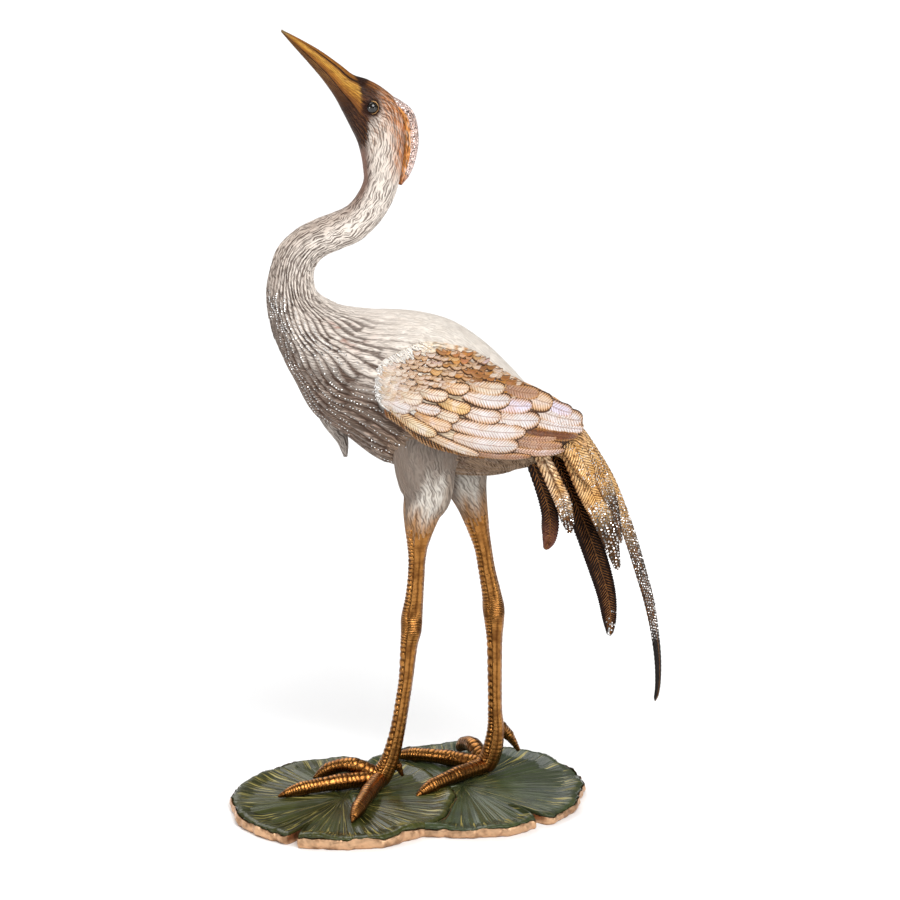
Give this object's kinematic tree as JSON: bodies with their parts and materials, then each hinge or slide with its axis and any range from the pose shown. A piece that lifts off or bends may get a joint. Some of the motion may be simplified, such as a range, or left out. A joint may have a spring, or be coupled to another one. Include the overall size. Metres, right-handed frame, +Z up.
{
  "type": "crane figurine",
  "caption": "Standing crane with raised bill and trailing tail plumes on two overlapping lily pads, stands by its own weight.",
  "frame": {"origin": "middle of the flat underside of the two lily pads, on the surface that the figure stands on", "axes": "+Z up, the crane looks along -X with its tail towards +X, and its left side faces -Y"},
  "size_m": [0.3051, 0.1937, 0.5477],
  "materials": {
    "bird_enamel": "pearl enamel with engraved lines",
    "pad_enamel": "gloss enamel with raised veins",
    "gilt": "antique gilt",
    "eye_glass": "polished black glass",
    "crystal": "cut crystal stones"
  },
  "bodies": {
    "root": {"crane": "bird_enamel", "lily_pads": "pad_enamel", "eye_left": "eye_glass", "eye_right": "eye_glass"}
  },
  "joints": []
}
